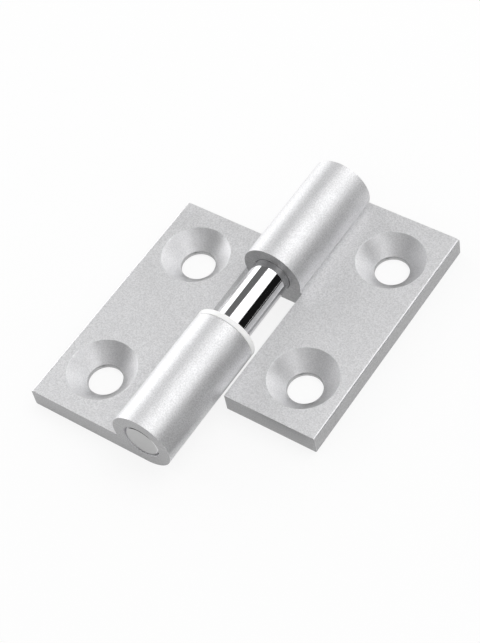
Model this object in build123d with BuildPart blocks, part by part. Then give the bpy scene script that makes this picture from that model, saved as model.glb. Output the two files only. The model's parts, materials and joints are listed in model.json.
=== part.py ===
from build123d import *
import os

# Lift-off hinge with two countersunk aluminium leaves, a steel pin and a resin washer.
# Millimetres. The pin axis runs along +Y, the leaves lie flat with their undersides at Z = 0,
# and the origin is the bottom centre of the opened hinge with the right leaf drawn part way off.

os.makedirs("parts", exist_ok=True)

# Leaf plate
leaf_length = 40.0          # along the pin, each leaf
leaf_reach = 20.3           # pin axis to outer edge
plate_thickness = 3.3
corner_round = 0.3          # rounding of the profile's outer corners, top and bottom

# Knuckle
knuckle_diameter = 9.8      # its underside is tangent to the leaf's flat underside
knuckle_gap = 0.12          # between a knuckle and the edge cut beside it in the other leaf
left_knuckle_length = 20.3  # measured from the near end of the left leaf
seated_offset = 0.75        # right leaf past the left one when it is pushed home

# Screw holes
hole_diameter = 5.3         # clearance for an M5 countersunk screw
countersink_diameter = 10.6
countersink_angle = 90.0
hole_pitch = 24.0           # along the pin
hole_edge_distance = 7.0    # outer edge to the row of holes

# Pin
pin_diameter = 6.0
pin_recess = 0.1            # near end of the pin below the left knuckle's end
pin_setback = 0.65          # free end below the right knuckle's end when pushed home
pin_near_chamfer = 0.4
pin_lead_in = 0.6           # chamfer at the free end, leads the lift-off leaf on
running_clearance = 0.05    # radial, pin in the turning bores

# Washer
washer_thickness = 0.9
washer_end_play = 0.05      # between the left knuckle's end and the washer

# Pose shown
draw_off = 12.8             # right leaf slid along the pin from level with the left one

# Positions that follow
knuckle_radius = knuckle_diameter / 2
pin_radius = pin_diameter / 2
bore_radius = pin_radius + running_clearance
axis_height = knuckle_radius
cut_edge = knuckle_radius + knuckle_gap
hole_row = leaf_reach - hole_edge_distance
seated_length = leaf_length + seated_offset
right_knuckle_length = seated_length - left_knuckle_length - washer_end_play - washer_thickness
pin_length = seated_length - pin_recess - pin_setback
left_middle = -draw_off / 2
right_middle = draw_off / 2
left_near_end = left_middle - leaf_length / 2
left_far_end = left_middle + leaf_length / 2
right_near_end = right_middle - leaf_length / 2
right_far_end = right_middle + leaf_length / 2
left_knuckle_end = left_near_end + left_knuckle_length
right_knuckle_start = right_far_end - right_knuckle_length
washer_start = left_knuckle_end + washer_end_play
pin_start = left_near_end + pin_recess


def across_axis(y, height):
    """Plane square to the pin at y, its normal pointing to the near side."""
    return Plane(origin=(0, y, height), x_dir=(1, 0, 0), z_dir=(0, -1, 0))


# Left leaf, holds the pin
with BuildPart() as left_leaf:
    # Extruded section, plate and knuckle in one
    with BuildSketch(across_axis(left_far_end, 0)):
        Rectangle(leaf_reach, plate_thickness, align=(Align.MAX, Align.MIN))
        outer_corners = vertices().group_by(Axis.X)[0]
        fillet(outer_corners, corner_round)
        with Locations((0, axis_height)):
            Circle(knuckle_radius)
    extrude(amount=leaf_length)
    # Far half cut back to clear the right knuckle
    with BuildSketch(across_axis(left_far_end, 0)):
        with Locations((-cut_edge, 0)):
            Rectangle(cut_edge + knuckle_radius, knuckle_diameter, align=(Align.MIN, Align.MIN))
    extrude(amount=leaf_length - left_knuckle_length, mode=Mode.SUBTRACT)
    # Pin seat
    with Locations(across_axis(left_near_end, axis_height)):
        Hole(pin_radius)
    # Screw holes
    with Locations((-hole_row, left_middle, plate_thickness)):
        with GridLocations(hole_pitch, hole_pitch, 1, 2):
            CounterSinkHole(
                hole_diameter / 2,
                countersink_diameter / 2,
                counter_sink_angle=countersink_angle,
            )
left_leaf.part.label = "left_leaf"

# Right leaf, turns on the pin and lifts off it
with BuildPart() as right_leaf:
    # Extruded section, the left one mirrored
    with BuildSketch(across_axis(right_far_end, 0)):
        Rectangle(leaf_reach, plate_thickness, align=(Align.MIN, Align.MIN))
        outer_corners = vertices().group_by(Axis.X)[-1]
        fillet(outer_corners, corner_round)
        with Locations((0, axis_height)):
            Circle(knuckle_radius)
    extrude(amount=leaf_length)
    # Near half cut back to clear the left knuckle
    with BuildSketch(across_axis(right_knuckle_start, 0)):
        with Locations((cut_edge, 0)):
            Rectangle(cut_edge + knuckle_radius, knuckle_diameter, align=(Align.MAX, Align.MIN))
    extrude(amount=leaf_length - right_knuckle_length, mode=Mode.SUBTRACT)
    # Bore that runs on the pin
    with Locations(across_axis(right_near_end, axis_height)):
        Hole(bore_radius)
    # Screw holes
    with Locations((hole_row, right_middle, plate_thickness)):
        with GridLocations(hole_pitch, hole_pitch, 1, 2):
            CounterSinkHole(
                hole_diameter / 2,
                countersink_diameter / 2,
                counter_sink_angle=countersink_angle,
            )
right_leaf.part.label = "right_leaf"

# Pin, pressed into the left knuckle
with BuildPart() as hinge_pin:
    with BuildSketch(across_axis(pin_start + pin_length, axis_height)):
        Circle(pin_radius)
    extrude(amount=pin_length)
    chamfer(edges().group_by(Axis.Y)[0], pin_near_chamfer)
    chamfer(edges().group_by(Axis.Y)[-1], pin_lead_in)
hinge_pin.part.label = "hinge_pin"

# Washer between the knuckles
with BuildPart() as washer:
    with BuildSketch(across_axis(washer_start + washer_thickness, axis_height)):
        Circle(knuckle_radius)
        Circle(bore_radius, mode=Mode.SUBTRACT)
    extrude(amount=washer_thickness)
washer.part.label = "washer"

export_step(left_leaf.part, "parts/left_leaf.step")
export_step(right_leaf.part, "parts/right_leaf.step")
export_step(hinge_pin.part, "parts/hinge_pin.step")
export_step(washer.part, "parts/washer.step")
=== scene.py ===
import json
import math

import bpy
from bpy.props import FloatProperty, FloatVectorProperty, PointerProperty
from mathutils import Matrix, Vector


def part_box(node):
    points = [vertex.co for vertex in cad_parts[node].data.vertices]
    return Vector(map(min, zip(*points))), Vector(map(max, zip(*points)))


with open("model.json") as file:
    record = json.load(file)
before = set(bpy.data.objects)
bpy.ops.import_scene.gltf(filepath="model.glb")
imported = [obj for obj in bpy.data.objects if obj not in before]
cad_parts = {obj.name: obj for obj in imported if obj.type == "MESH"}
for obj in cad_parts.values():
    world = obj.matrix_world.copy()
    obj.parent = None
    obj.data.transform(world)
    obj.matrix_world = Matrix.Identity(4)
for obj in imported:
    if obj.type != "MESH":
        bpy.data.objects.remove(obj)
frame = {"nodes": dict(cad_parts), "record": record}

bl_info = {
    "name": "Lift-off Cabinet Hinge",
    "version": (1, 0, 0),
    "blender": (4, 5, 0),
    "location": "3D View > Sidebar > Hinge",
    "description": "Finishes an aluminium lift-off hinge and sets it in a plain studio",
    "category": "Object",
}

MOUNTS = {mount["name"]: mount for mount in frame["record"]["mounts"]}
LEAF_MOUNTS = {"left_leaf": MOUNTS["left_screws"], "right_leaf": MOUNTS["right_screws"]}
COLOURS = {slot["slot"]: slot["base_color"] for slot in frame["record"]["materials"]}
PIN_HEIGHT = (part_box("hinge_pin")[0].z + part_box("hinge_pin")[1].z) / 2
QUARTER_TURN = math.pi / 2

# Places on the leaves, in metres. A pair is where a blend starts and where it is full.
SAW_AXIS_HEIGHT = 0.09              # the saw's lines are arcs round this height
HOLE_WALL = (0.00274, 0.00267)      # from the screw hole's axis
RIM_BLEND = 0.00004                 # to each side of the countersink's rim
OUTER_ROUNDING = (0.01995, 0.0201)  # from the pin's axis
OUTER_SIDE = (0.0199, 0.0202)       # from the pin's axis

# How squarely a face looks along an axis, from 0 to 1. A pair is a blend, as above.
LEAF_END = (0.8, 0.97)
LEAF_SIDE = (0.9, 0.99)
LEAF_ROUNDING = (0.15, 0.4)
PIN_END = (0.85, 0.98)
PIN_CHAMFER_OR_END = (0.1, 0.3)
PIN_CHAMFER = (0.2, 0.5)
PIN_NOT_END = (0.95, 0.85)

# Top of the pin's chamfer, which takes painted shade: height above the pin's axis as a share of
# the distance from it
CHAMFER_TOP = (0.55, 0.92)

# Noise patterns: features to the metre, detail, and roughness where it isn't the usual 0.5
SAW_LINES = (2600.0, 4.0, 0.7)
CONE_RINGS = (20000.0, 2.0)
LEAF_CLOUDS = (260.0, 2.0)
PIN_RINGS = (7000.0, 2.0)
PIN_SMEARS = (350.0, 3.0, 0.6)
RESIN_MOTTLE = (1500.0, 3.0, 0.6)
RESIN_PORES = (9000.0, 2.0)
FLOOR_DRIFT = (6.0, 2.0)
GRINDING_LINES = (300.0, 30000.0, 300.0)  # along each axis
GRINDING_DETAIL = 3.0
SPECKLES_TO_A_DIMPLE = 1.6
SPECKLE_DETAIL = (3.0, 0.7)
NOISE_MIDDLE = (0.3, 0.7)           # most of a pattern's values
NOISE_RANGE = (0.2, 0.8)            # nearly all of them

# Shares of a colour that a finish has, or wanders between
BLASTED_SHADE = 0.955
# Painted shade that dims the highlight on the rounded outer corners
ROUNDING_PAINTED_SHADE = 0.92
FLECK_SHADES = (0.86, 1.14)
SAWN_SHADES = (0.90, 1.10)
STEEL_SHADES = (0.98, 1.02)
RESIN_SHADES = (1.02, 1.05)
FLOOR_SHADES = (0.995, 1.0)
CONE_EVENNESS = 0.25                # share of the flecks that turning takes away
# Painted shade along the top of the pin's chamfer
CHAMFER_PAINTED_SHADE = (0.04, 0.04, 0.04)

# Roughness of each finish, and how far it wanders
BLASTED_WANDER = 0.03
CONE_ROUGHNESS = (0.44, 0.48)
RUBBED_ROUGHNESS = 0.46
SAWN_ROUGHNESS = (0.55, 0.62)
POLISH_WANDER = (0.8, 1.3)          # times the polish's own roughness
PIN_END_WANDER = 0.04
RESIN_WANDER = 0.05

# Relief: shares and multiples of a finish's own depth, and depths in metres
SPECKLE_SHARE = 0.6
CONE_RING_RELIEF = 2.8
CONE_GRAIN_RELIEF = 0.5
SAW_LINE_SHARE = 0.5
GRINDING_RELIEF = 0.04
PIN_DEPTH = 0.000002
RESIN_DEPTH = 0.000003

# Edges
SEAM = 0.000002                     # corners closer than this, in metres, are one
FLAT_WITHIN = math.radians(0.5)     # faces that turn less than this are one
SHARP_FROM = math.radians(25)       # edges that turn more than this are softened

# Softboxes: name, centre, size, turn, setting that holds the level
SOFTBOXES = (
    ("overhead_softbox", (0.184, 0.25, 0.5), (0.58, 0.42), (0, 0, 0), "overhead_level"),
    ("left_softbox", (-0.6, 0.11, 0.21), (0.42, 0.62), (0, -QUARTER_TURN, 0), "side_level"),
)

# Standing cards: name, degrees round from +X, degrees up, distance, size, setting that holds
# the level, share of that level
STANDING_CARDS = (
    ("grey_card", 124, 37, 0.5, (0.36, 0.46), "grey_card_level", 1.0),
    ("dark_card", 12, 17, 0.35, (0.34, 0.31), "dark_card_level", 1.0),
    ("front_left_card", 237, 18, 0.6, (0.62, 0.42), "front_card_level", 1.0),
    ("low_front_card", 300, 12, 0.6, (0.9, 0.40), "front_card_level", 1.0),
    ("back_card", 76, 16, 0.6, (0.5, 0.34), "white_card_level", 0.7),
    ("right_front_card", 340, 46, 0.6, (0.36, 0.28), "white_card_level", 1.0),
)

# Lying cards: name, centre, size, setting that holds the level
CARD_LIFT = 0.0002                  # above the floor
LYING_CARDS = (
    ("front_ceiling_card", (-0.05, -0.2, 0.5), (0.7, 0.36), "front_card_level"),
    # Painted shadow: the two floor cards are dark sheets that stand in, in the metal, for the
    # hinge's shadow on the floor
    ("floor_shadow_card", (0.0138, -0.02105, CARD_LIFT), (0.0104, 0.0089), "floor_shadow_level"),
    ("right_floor_shadow_card", (0.0965, 0.035, CARD_LIFT), (0.127, 0.11), "floor_shadow_level"),
)
# Painted shadow: the dark card under each screw hole stands in, in the metal, for the shade
# beneath the hinge
HOLE_SHADOW_CARD = (0.0036, 0.0036)        # under each screw hole

# Camera: place and nearest distance seen in metres, lens and sensor in millimetres
CAMERA_PLACE = (0.108003, -0.111921, 0.204984)
CAMERA_RIGHT = (0.82079, 0.55443, -0.1375)
CAMERA_AHEAD = (-0.42611, 0.43396, -0.79379)
CAMERA_LENS = 97.61
SENSOR_WIDTH = 36
NEAREST_SEEN = 0.01


# Settings

class LeafSettings(bpy.types.PropertyGroup):
    """Blasted and anodised aluminium of both leaves."""
    colour: FloatVectorProperty(
        name="Aluminium colour", description="Colour of the blasted faces",
        subtype="COLOR", size=3, min=0, max=1, default=COLOURS["aluminium"])
    # Painted shade: the sawn ends are made darker in colour than the blasted faces to stand in
    # for the shade on them
    end_colour: FloatVectorProperty(
        name="Sawn end colour", description="Colour of the ends left by the saw",
        subtype="COLOR", size=3, min=0, max=1, default=(0.505, 0.505, 0.51))
    # Painted shade: the outer side is the same blasted aluminium as the top, made darker in
    # colour to stand in for the shade on it
    side_painted_shade: FloatVectorProperty(
        name="Side colour", description="Colour of the narrow outer sides",
        subtype="COLOR", size=3, min=0, max=1, default=(0.51, 0.51, 0.515))
    roughness: FloatProperty(
        name="Roughness", description="Roughness of the blasted faces",
        subtype="FACTOR", min=0, max=1, default=0.54)
    grain: FloatProperty(
        name="Grain", description="Distance between the dimples that the blasting leaves",
        unit="LENGTH", min=0.00002, max=0.001, precision=5, default=0.00032)
    grain_depth: FloatProperty(
        name="Grain depth", description="Depth of the dimples",
        unit="LENGTH", min=0, max=0.0001, precision=6, default=0.000012)
    countersink: FloatProperty(
        name="Countersink", description="Diameter of the turned cone at each screw hole",
        unit="LENGTH", min=0.001, max=0.03, precision=4, default=0.0106)
    # Painted shade: the drilled walls are darker in colour to stand in for the shade inside the
    # holes
    hole_painted_shade: FloatVectorProperty(
        name="Hole colour", description="Colour of the drilled walls of the screw holes",
        subtype="COLOR", size=3, min=0, max=1, default=(0.55, 0.55, 0.555))
    edge_break: FloatProperty(
        name="Edge break", description="Width of the softened edge where two faces meet",
        unit="LENGTH", min=0, max=0.0003, precision=5, default=0.00005)


class PinSettings(bpy.types.PropertyGroup):
    """Ground and polished steel pin."""
    colour: FloatVectorProperty(
        name="Steel colour", description="Colour of the polished steel",
        subtype="COLOR", size=3, min=0, max=1, default=COLOURS["pin_steel"])
    roughness: FloatProperty(
        name="Roughness", description="Roughness of the polished round face",
        subtype="FACTOR", min=0, max=1, default=0.05)
    end_colour: FloatVectorProperty(
        name="End colour", description="Colour of the turned ends",
        subtype="COLOR", size=3, min=0, max=1, default=(0.53, 0.53, 0.53))
    end_roughness: FloatProperty(
        name="End roughness", description="Roughness of the turned ends",
        subtype="FACTOR", min=0, max=1, default=0.38)
    edge_break: FloatProperty(
        name="Edge break", description="Width of the softened edge at the chamfers",
        unit="LENGTH", min=0, max=0.0003, precision=5, default=0.00003)


class WasherSettings(bpy.types.PropertyGroup):
    """Moulded white resin washer."""
    colour: FloatVectorProperty(
        name="Resin colour", description="Colour of the resin",
        subtype="COLOR", size=3, min=0, max=1, default=COLOURS["white_resin"])
    roughness: FloatProperty(
        name="Roughness", description="Roughness of the moulded faces",
        subtype="FACTOR", min=0, max=1, default=0.42)
    edge_break: FloatProperty(
        name="Edge break", description="Width of the rounding left by the mould at the rims",
        unit="LENGTH", min=0, max=0.0003, precision=5, default=0.00008)


class StudioSettings(bpy.types.PropertyGroup):
    """Floor, lamps and reflector cards."""
    floor_colour: FloatVectorProperty(
        name="Floor colour", description="Colour of the pale floor",
        subtype="COLOR", size=3, min=0, max=1, default=(0.95, 0.95, 0.95))
    floor_whiteness: FloatProperty(
        name="Floor whiteness", description="Share of white that no shadow darkens",
        subtype="FACTOR", min=0, max=1, default=0.83)
    floor_in_metal: FloatProperty(
        name="Whiteness in metal", description="Share of that whiteness that shows in metal",
        subtype="FACTOR", min=0, max=1, default=0.5)
    floor_radius: FloatProperty(
        name="Floor radius", description="How far the floor reaches",
        unit="LENGTH", min=0.5, max=20, default=6.0)
    fill_level: FloatProperty(
        name="Fill level", description="Brightness of the light from all round, 1 is white",
        min=0, max=2, default=0.75)
    overhead_level: FloatProperty(
        name="Overhead level", description="Brightness of the overhead softbox, 1 is white",
        min=0, max=5, default=1.1)
    side_level: FloatProperty(
        name="Side level", description="Brightness of the softbox on the left, 1 is white",
        min=0, max=5, default=1.6)
    grey_card_level: FloatProperty(
        name="Grey card", description="Brightness of the card between the softboxes",
        min=0, max=1, default=0.18)
    dark_card_level: FloatProperty(
        name="Dark card", description="Brightness of the card that stands on the right",
        min=0, max=1, default=0.01)
    front_card_level: FloatProperty(
        name="Front cards", description="Brightness of the cards in front and above the front",
        min=0, max=1, default=0.15)
    # Painted shadow: level of the dark cards that stand in, in the metal, for the hinge's shadow
    # on the floor
    floor_shadow_level: FloatProperty(
        name="Floor cards", description="Brightness of the dark cards on the floor",
        min=0, max=1, default=0.05)
    white_card_level: FloatProperty(
        name="White cards", description="Brightness of the cards that light the countersinks",
        min=0, max=4, default=2.2)


# Shader building

class Finish:
    """One material, with short ways to add the nodes its pattern is made of."""

    def __init__(self, name):
        self.material = bpy.data.materials.new(name)
        self.material.use_nodes = True
        self.tree = self.material.node_tree
        self.shader = next(n for n in self.tree.nodes if n.type == "BSDF_PRINCIPLED")
        place = self.tree.nodes.new("ShaderNodeTexCoord")
        self.position = place.outputs["Object"]
        self.facing = place.outputs["Normal"]

    def put(self, socket, value):
        """A socket is linked and a number or colour is set."""
        if isinstance(value, bpy.types.NodeSocket):
            self.tree.links.new(value, socket)
        else:
            socket.default_value = value

    def maths(self, operation, first, second=0.0):
        node = self.tree.nodes.new("ShaderNodeMath")
        node.operation = operation
        for socket, value in zip(node.inputs, (first, second)):
            self.put(socket, value)
        return node.outputs[0]

    def squarely(self, facing):
        """How squarely a face looks along an axis, either way."""
        return self.maths("ABSOLUTE", facing)

    def diagonal(self, first, second):
        """Distance that is first one way and second square to it."""
        return self.maths("SQRT", self.maths(
            "ADD", self.maths("MULTIPLY", first, first), self.maths("MULTIPLY", second, second)))

    def axes(self, vector):
        node = self.tree.nodes.new("ShaderNodeSeparateXYZ")
        self.put(node.inputs[0], vector)
        return node.outputs

    def outwards(self, distance):
        """Vector on which a pattern changes only with that distance."""
        node = self.tree.nodes.new("ShaderNodeCombineXYZ")
        self.put(node.inputs["X"], distance)
        return node.outputs[0]

    def stretched(self, scale):
        """Position scaled along each axis, so that a pattern on it is stretched."""
        node = self.tree.nodes.new("ShaderNodeVectorMath")
        node.operation = "MULTIPLY"
        self.put(node.inputs[0], self.position)
        self.put(node.inputs[1], scale)
        return node.outputs[0]

    def noise(self, vector, scale, detail, roughness=0.5):
        node = self.tree.nodes.new("ShaderNodeTexNoise")
        self.put(node.inputs["Vector"], vector)
        self.put(node.inputs["Scale"], scale)
        self.put(node.inputs["Detail"], detail)
        self.put(node.inputs["Roughness"], roughness)
        return node.outputs[0]

    def cells(self, vector, scale):
        node = self.tree.nodes.new("ShaderNodeTexVoronoi")
        node.feature = "SMOOTH_F1"
        self.put(node.inputs["Vector"], vector)
        self.put(node.inputs["Scale"], scale)
        return node.outputs["Distance"]

    def ramp(self, value, start, end, low=0.0, high=1.0):
        """Smooth step from low at start to high at end."""
        node = self.tree.nodes.new("ShaderNodeMapRange")
        node.interpolation_type = "SMOOTHSTEP"
        for socket, number in zip(node.inputs, (value, start, end, low, high)):
            self.put(socket, number)
        return node.outputs[0]

    def blend(self, share, first, second):
        """Number between first and second."""
        node = self.tree.nodes.new("ShaderNodeMix")
        for socket, number in zip(node.inputs, (share, None, first, second)):
            if number is not None:
                self.put(socket, number)
        return node.outputs[0]

    def tint(self, share, first, second):
        """Colour between first and second."""
        node = self.tree.nodes.new("ShaderNodeMix")
        node.data_type = "RGBA"
        self.put(node.inputs[0], share)
        for name, colour in (("A", first), ("B", second)):
            if not isinstance(colour, bpy.types.NodeSocket):
                colour = (*colour, 1.0)
            socket = next(s for s in node.inputs if s.name == name and s.type == "RGBA")
            self.put(socket, colour)
        return next(s for s in node.outputs if s.type == "RGBA")

    def mottled(self, pattern, colour, shades):
        """Colour that wanders with the pattern between two shades of itself."""
        low, high = (scaled(colour, shade) for shade in shades)
        return self.tint(self.ramp(pattern, *NOISE_MIDDLE), low, high)

    def shaded(self, colour, factor):
        """Colour times a number."""
        node = self.tree.nodes.new("ShaderNodeVectorMath")
        node.operation = "SCALE"
        self.put(node.inputs[0], colour)
        self.put(node.inputs["Scale"], factor)
        return node.outputs[0]

    def bump(self, height, depth):
        node = self.tree.nodes.new("ShaderNodeBump")
        self.put(node.inputs["Height"], height)
        self.put(node.inputs["Distance"], depth)
        self.put(self.shader.inputs["Normal"], node.outputs[0])


def scaled(colour, factor):
    return tuple(min(1.0, channel * factor) for channel in colour)


def around(middle, wander):
    """Lowest and highest of a number that wanders by that much."""
    return middle - wander, middle + wander


def screw_holes(mount):
    """Middle of a leaf's two screw holes, and half their pitch along the pin, in metres."""
    x, y = mount["pos_m"][:2]
    return x, y, mount["dims"]["spacing_y_mm"] / 2 / 1000


def aluminium(leaf, mount, settings):
    """Blasted faces, turned countersinks, drilled holes and sawn ends of one leaf."""
    finish = Finish(leaf + "_aluminium")
    x, y, z = finish.axes(finish.position)
    facing_x, facing_y, facing_z = finish.axes(finish.facing)
    from_pin = finish.maths("ABSOLUTE", x)

    # Sawn ends face along the pin. Their darker colour is painted shade; their saw lines and
    # roughness are the real finish.
    sawn = finish.ramp(finish.squarely(facing_y), *LEAF_END)
    arc = finish.diagonal(x, finish.maths("SUBTRACT", z, SAW_AXIS_HEIGHT))
    saw_lines = finish.noise(finish.outwards(arc), *SAW_LINES)

    # Distance from the nearer screw hole's axis
    hole_x, hole_y, half_pitch = screw_holes(mount)
    from_middle = finish.maths("ABSOLUTE", finish.maths("SUBTRACT", y, hole_y))
    from_hole = finish.diagonal(finish.maths("SUBTRACT", x, hole_x),
                                finish.maths("SUBTRACT", from_middle, half_pitch))
    cone = settings.countersink / 2
    turned = finish.ramp(from_hole, cone + RIM_BLEND, cone - RIM_BLEND)
    rings = finish.noise(finish.outwards(from_hole), *CONE_RINGS)
    drilled = finish.ramp(from_hole, *HOLE_WALL)

    # Blasted grain and slow clouding
    dimples = finish.cells(finish.position, 1 / settings.grain)
    speckle = finish.noise(
        finish.position, SPECKLES_TO_A_DIMPLE / settings.grain, *SPECKLE_DETAIL)
    clouds = finish.noise(finish.position, *LEAF_CLOUDS)
    grain = finish.blend(SPECKLE_SHARE, dimples, speckle)

    # Outer corners, rubbed smoother, and outer sides; both are also darkened in colour as painted
    # shade
    rounded = finish.maths("MULTIPLY", finish.ramp(from_pin, *OUTER_ROUNDING),
                           finish.ramp(finish.squarely(facing_z), *LEAF_ROUNDING))
    side_shade_mask = finish.maths("MULTIPLY", finish.ramp(finish.squarely(facing_x), *LEAF_SIDE),
                        finish.ramp(from_pin, *OUTER_SIDE))

    # Painted shade: the outer side's darker colour stands in for the shade that falls on it
    metal = finish.tint(side_shade_mask, scaled(settings.colour, BLASTED_SHADE), settings.side_painted_shade)
    # Painted shade: the rounded corner is dimmed in colour to tone down its highlight
    metal = finish.tint(rounded, metal, scaled(settings.colour, ROUNDING_PAINTED_SHADE))
    # Painted shade in the sawn ends' darker colour, mottled along their real saw lines
    ends = finish.mottled(saw_lines, settings.end_colour, SAWN_SHADES)
    metal = finish.tint(sawn, metal, ends)
    # Painted shade inside the screw holes
    metal = finish.tint(drilled, metal, settings.hole_painted_shade)
    flecks = finish.ramp(speckle, *NOISE_MIDDLE, *FLECK_SHADES)
    flecks = finish.blend(finish.ramp(turned, 0.0, 1.0, 0.0, CONE_EVENNESS), flecks, 1.0)
    finish.put(finish.shader.inputs["Base Color"], finish.shaded(metal, flecks))
    finish.shader.inputs["Metallic"].default_value = 1.0

    rough = finish.ramp(clouds, *NOISE_RANGE, *around(settings.roughness, BLASTED_WANDER))
    rough = finish.blend(turned, rough, finish.ramp(clouds, *NOISE_RANGE, *CONE_ROUGHNESS))
    rough = finish.blend(rounded, rough, RUBBED_ROUGHNESS)
    rough = finish.blend(sawn, rough, finish.ramp(saw_lines, *NOISE_RANGE, *SAWN_ROUGHNESS))
    finish.put(finish.shader.inputs["Roughness"], rough)

    # Turned rings with some of the grain in the cones, saw lines with some of it on the ends
    cut = finish.maths("MULTIPLY", finish.maths("SUBTRACT", rings, 0.5), CONE_RING_RELIEF)
    cut = finish.maths("ADD", cut, finish.maths("MULTIPLY", grain, CONE_GRAIN_RELIEF))
    height = finish.blend(turned, grain, cut)
    height = finish.blend(sawn, height, finish.blend(SAW_LINE_SHARE, grain, saw_lines))
    finish.bump(height, settings.grain_depth)
    return finish.material


def pin_steel(settings):
    """Polished round face with faint grinding lines, and turned ends."""
    finish = Finish("hinge_pin_steel")
    x, _, z = finish.axes(finish.position)
    along_pin = finish.squarely(finish.axes(finish.facing)[1])
    ends = finish.ramp(along_pin, *PIN_END)
    above_axis = finish.maths("SUBTRACT", z, PIN_HEIGHT)
    from_axis = finish.diagonal(x, above_axis)
    grinding = finish.noise(finish.stretched(GRINDING_LINES), 1.0, GRINDING_DETAIL)
    rings = finish.noise(finish.outwards(from_axis), *PIN_RINGS)
    smears = finish.noise(finish.position, *PIN_SMEARS)
    steel = finish.mottled(smears, settings.colour, STEEL_SHADES)
    steel = finish.tint(ends, steel, settings.end_colour)

    # Painted shade along the top of the chamfer
    chamfer = finish.maths("MULTIPLY", finish.ramp(along_pin, *PIN_CHAMFER),
                           finish.ramp(along_pin, *PIN_NOT_END))
    top = finish.ramp(finish.maths("DIVIDE", above_axis, from_axis), *CHAMFER_TOP)
    chamfer_shaded = finish.tint(finish.maths("MULTIPLY", chamfer, top), steel, CHAMFER_PAINTED_SHADE)
    finish.put(finish.shader.inputs["Base Color"], chamfer_shaded)
    finish.shader.inputs["Metallic"].default_value = 1.0

    polished = finish.ramp(
        grinding, *NOISE_RANGE, *(settings.roughness * share for share in POLISH_WANDER))
    turned = finish.ramp(rings, *NOISE_RANGE, *around(settings.end_roughness, PIN_END_WANDER))
    machined = finish.ramp(along_pin, *PIN_CHAMFER_OR_END)
    finish.put(finish.shader.inputs["Roughness"], finish.blend(machined, polished, turned))
    scratches = finish.maths("MULTIPLY", grinding, GRINDING_RELIEF)
    finish.bump(finish.blend(ends, scratches, rings), PIN_DEPTH)
    return finish.material


def white_resin(settings):
    """Moulded resin, slightly uneven, with a little light passing into it."""
    finish = Finish("washer_resin")
    mottle = finish.noise(finish.position, *RESIN_MOTTLE)
    finish.put(finish.shader.inputs["Base Color"],
               finish.mottled(mottle, settings.colour, RESIN_SHADES))
    finish.put(finish.shader.inputs["Roughness"], finish.ramp(
        mottle, *NOISE_RANGE, *around(settings.roughness, RESIN_WANDER)))
    finish.shader.inputs["Subsurface Weight"].default_value = 0.25
    finish.shader.inputs["Subsurface Radius"].default_value = (1.0, 1.0, 0.9)
    finish.shader.inputs["Subsurface Scale"].default_value = 0.0006
    finish.bump(finish.noise(finish.position, *RESIN_PORES), RESIN_DEPTH)
    return finish.material


# Mesh finishing

def soften_edges(node, width):
    """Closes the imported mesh's loose triangles into whole faces and breaks its sharp edges."""
    weld = node.modifiers.new("Close seams", "WELD")
    weld.merge_threshold = SEAM
    merge = node.modifiers.new("Whole faces", "DECIMATE")
    merge.decimate_type = "DISSOLVE"
    merge.angle_limit = FLAT_WITHIN
    bevel = node.modifiers.new("Edge break", "BEVEL")
    bevel.offset_type = "WIDTH"
    bevel.width = width
    bevel.segments = 2
    bevel.limit_method = "ANGLE"
    bevel.angle_limit = SHARP_FROM
    shading = node.modifiers.new("Even shading", "WEIGHTED_NORMAL")
    shading.weight = 100
    shading.keep_sharp = False


def dress(node, material):
    node.data.materials.clear()
    node.data.materials.append(material)


# Stage parts

def softbox(name, centre, size, turn, level):
    """Lamp panel, hidden from the camera. Its level is the brightness of its face."""
    bpy.ops.object.light_add(type="AREA", location=centre, rotation=turn)
    lamp = bpy.context.object
    lamp.name = name
    lamp.data.shape = "RECTANGLE"
    lamp.data.size, lamp.data.size_y = size
    lamp.data.energy = level * math.pi * size[0] * size[1]
    lamp.visible_camera = False


def facing_hinge(azimuth, elevation, distance):
    """Place of a panel in that direction from the hinge, its face towards the hinge."""
    turned, raised = math.radians(azimuth), math.radians(elevation)
    away = Vector((math.cos(raised) * math.cos(turned), math.cos(raised) * math.sin(turned),
                   math.sin(raised)))
    return Matrix.Translation(away * distance) @ away.to_track_quat("Z", "Y").to_matrix().to_4x4()


def card(name, place, size, level):
    """Panel that shows only in the metal."""
    bpy.ops.mesh.primitive_plane_add(size=1)
    panel = bpy.context.object
    panel.name = name
    panel.matrix_world = place @ Matrix.Diagonal((size[0], size[1], 1, 1))
    bpy.ops.object.transform_apply(location=True, rotation=True, scale=True)
    material = bpy.data.materials.new(name)
    material.use_nodes = True
    tree = material.node_tree
    tree.nodes.clear()
    glow = tree.nodes.new("ShaderNodeEmission")
    glow.inputs["Color"].default_value = (level, level, level, 1)
    out = tree.nodes.new("ShaderNodeOutputMaterial")
    tree.links.new(glow.outputs[0], out.inputs["Surface"])
    panel.data.materials.append(material)
    panel.visible_camera = False
    panel.visible_diffuse = False
    panel.visible_shadow = False
    panel.visible_transmission = False


def set_cards(settings):
    """Cards round and over the hinge, and dark cards on the floor and under each screw hole that
    paint the hinge's shadow into the metal.
    """
    for name, azimuth, elevation, distance, size, level, share in STANDING_CARDS:
        card(name, facing_hinge(azimuth, elevation, distance), size,
             share * getattr(settings, level))
    for name, centre, size, level in LYING_CARDS:
        card(name, Matrix.Translation(centre), size, getattr(settings, level))
    for mount in LEAF_MOUNTS.values():
        x, y, half_pitch = screw_holes(mount)
        for name, along in (("near", y - half_pitch), ("far", y + half_pitch)):
            card(mount["name"] + "_" + name + "_card", Matrix.Translation((x, along, CARD_LIFT)),
                 HOLE_SHADOW_CARD, settings.floor_shadow_level)


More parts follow.
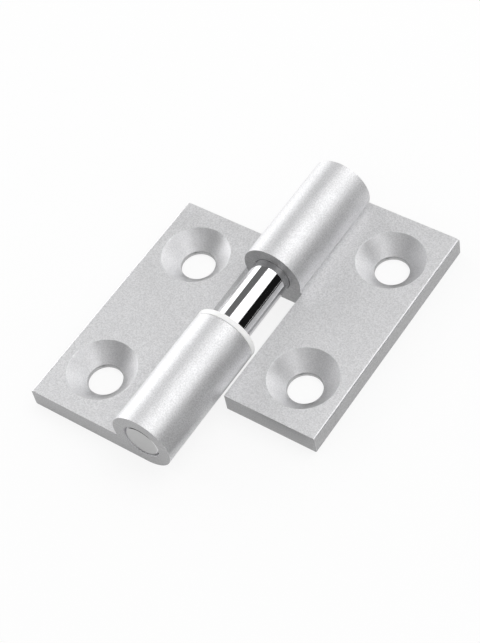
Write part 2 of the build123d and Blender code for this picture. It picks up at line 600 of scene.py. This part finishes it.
def seen_directly(tree, in_metal=1.0):
    """1 for what the camera or glass sees, in_metal for what metal shows, 0 for other light."""
    path = tree.nodes.new("ShaderNodeLightPath")
    seen = path.outputs["Is Camera Ray"]
    for name, share in (("Is Glossy Ray", in_metal), ("Is Transmission Ray", 1.0)):
        part = tree.nodes.new("ShaderNodeMath")
        part.operation = "MULTIPLY"
        tree.links.new(path.outputs[name], part.inputs[0])
        part.inputs[1].default_value = share
        either = tree.nodes.new("ShaderNodeMath")
        either.operation = "MAXIMUM"
        tree.links.new(seen, either.inputs[0])
        tree.links.new(part.outputs[0], either.inputs[1])
        seen = either.outputs[0]
    return seen


def floor_finish(settings):
    """Pale floor that looks nearly white and keeps a faint shadow of the hinge."""
    finish = Finish("pale_floor")
    drift = finish.noise(finish.position, *FLOOR_DRIFT)
    pale = finish.mottled(drift, settings.floor_colour, FLOOR_SHADES)
    seen = seen_directly(finish.tree, settings.floor_in_metal)
    unlit = scaled(settings.floor_colour, 1 - settings.floor_whiteness)
    finish.put(finish.shader.inputs["Base Color"], finish.tint(seen, pale, unlit))
    finish.put(finish.shader.inputs["Emission Strength"],
               finish.ramp(seen, 0.0, 1.0, 0.0, settings.floor_whiteness))
    finish.shader.inputs["Emission Color"].default_value = (1, 1, 1, 1)
    finish.shader.inputs["Roughness"].default_value = 0.9
    finish.shader.inputs["Specular IOR Level"].default_value = 0.0
    return finish.material


def white_surround(fill_level):
    """World that is white to the camera and in metal, and lights the hinge at the fill level."""
    world = bpy.data.worlds.new("studio")
    bpy.context.scene.world = world
    world.use_nodes = True
    tree = world.node_tree
    sky = next(n for n in tree.nodes if n.type == "BACKGROUND")
    level = tree.nodes.new("ShaderNodeMapRange")
    tree.links.new(seen_directly(tree), level.inputs["Value"])
    level.inputs["To Min"].default_value = fill_level
    level.inputs["To Max"].default_value = 1.0
    sky.inputs["Color"].default_value = (1, 1, 1, 1)
    tree.links.new(level.outputs[0], sky.inputs["Strength"])


def place_camera(scene):
    """Camera at the photograph's place and angle."""
    camera = bpy.data.objects.new("camera", bpy.data.cameras.new("camera"))
    scene.collection.objects.link(camera)
    right = Vector(CAMERA_RIGHT).normalized()
    ahead = Vector(CAMERA_AHEAD).normalized()
    turn = Matrix((right, right.cross(ahead), -ahead)).transposed().to_4x4()
    camera.matrix_world = Matrix.Translation(CAMERA_PLACE) @ turn
    camera.data.lens = CAMERA_LENS
    camera.data.sensor_width = SENSOR_WIDTH
    camera.data.clip_start = NEAREST_SEEN
    scene.camera = camera


# Operators

class HINGE_OT_leaves(bpy.types.Operator):
    """Break the leaves' edges and give them their blasted aluminium"""
    bl_idname = "hinge.leaves"
    bl_label = "Finish leaves"

    def execute(self, context):
        settings = context.scene.hinge_leaf
        for leaf, mount in LEAF_MOUNTS.items():
            node = frame["nodes"][leaf]
            soften_edges(node, settings.edge_break)
            dress(node, aluminium(leaf, mount, settings))
        return {"FINISHED"}


class HINGE_OT_pin(bpy.types.Operator):
    """Break the pin's edges and polish it"""
    bl_idname = "hinge.pin"
    bl_label = "Finish pin"

    def execute(self, context):
        settings = context.scene.hinge_pin
        node = frame["nodes"]["hinge_pin"]
        soften_edges(node, settings.edge_break)
        dress(node, pin_steel(settings))
        return {"FINISHED"}


class HINGE_OT_washer(bpy.types.Operator):
    """Round the washer's rims and give it its white resin"""
    bl_idname = "hinge.washer"
    bl_label = "Finish washer"

    def execute(self, context):
        settings = context.scene.hinge_washer
        node = frame["nodes"]["washer"]
        soften_edges(node, settings.edge_break)
        dress(node, white_resin(settings))
        return {"FINISHED"}


class HINGE_OT_stage(bpy.types.Operator):
    """Lay the floor, set the softboxes and cards, and place the camera"""
    bl_idname = "hinge.stage"
    bl_label = "Set stage"

    def execute(self, context):
        settings = context.scene.hinge_studio
        bpy.ops.object.select_all(action="DESELECT")
        bpy.ops.mesh.primitive_circle_add(
            vertices=96, radius=settings.floor_radius, fill_type="NGON", location=(0, 0, 0))
        floor = context.object
        floor.name = "floor"
        floor.data.materials.append(floor_finish(settings))
        white_surround(settings.fill_level)
        for name, centre, size, turn, level in SOFTBOXES:
            softbox(name, centre, size, turn, getattr(settings, level))
        set_cards(settings)
        place_camera(context.scene)
        return {"FINISHED"}


class HINGE_PT_tools(bpy.types.Panel):
    """Steps and settings of the hinge"""
    bl_label = "Lift-off hinge"
    bl_idname = "HINGE_PT_tools"
    bl_space_type = "VIEW_3D"
    bl_region_type = "UI"
    bl_category = "Hinge"

    def draw(self, context):
        scene = context.scene
        for operator, settings in (
                (HINGE_OT_leaves, scene.hinge_leaf), (HINGE_OT_pin, scene.hinge_pin),
                (HINGE_OT_washer, scene.hinge_washer), (HINGE_OT_stage, scene.hinge_studio)):
            box = self.layout.box()
            for name in type(settings).__annotations__:
                box.prop(settings, name)
            box.operator(operator.bl_idname)


CLASSES = (
    LeafSettings, PinSettings, WasherSettings, StudioSettings,
    HINGE_OT_leaves, HINGE_OT_pin, HINGE_OT_washer, HINGE_OT_stage, HINGE_PT_tools,
)


def register():
    for item in CLASSES:
        bpy.utils.register_class(item)
    bpy.types.Scene.hinge_leaf = PointerProperty(type=LeafSettings)
    bpy.types.Scene.hinge_pin = PointerProperty(type=PinSettings)
    bpy.types.Scene.hinge_washer = PointerProperty(type=WasherSettings)
    bpy.types.Scene.hinge_studio = PointerProperty(type=StudioSettings)


def unregister():
    for name in ("hinge_studio", "hinge_washer", "hinge_pin", "hinge_leaf"):
        delattr(bpy.types.Scene, name)
    for item in reversed(CLASSES):
        bpy.utils.unregister_class(item)


def main():
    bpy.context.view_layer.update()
    register()
    bpy.ops.hinge.leaves()
    bpy.ops.hinge.pin()
    bpy.ops.hinge.washer()
    bpy.ops.hinge.stage()
    bpy.context.scene.view_settings.view_transform = "Standard"


if __name__ == "__main__":
    main()
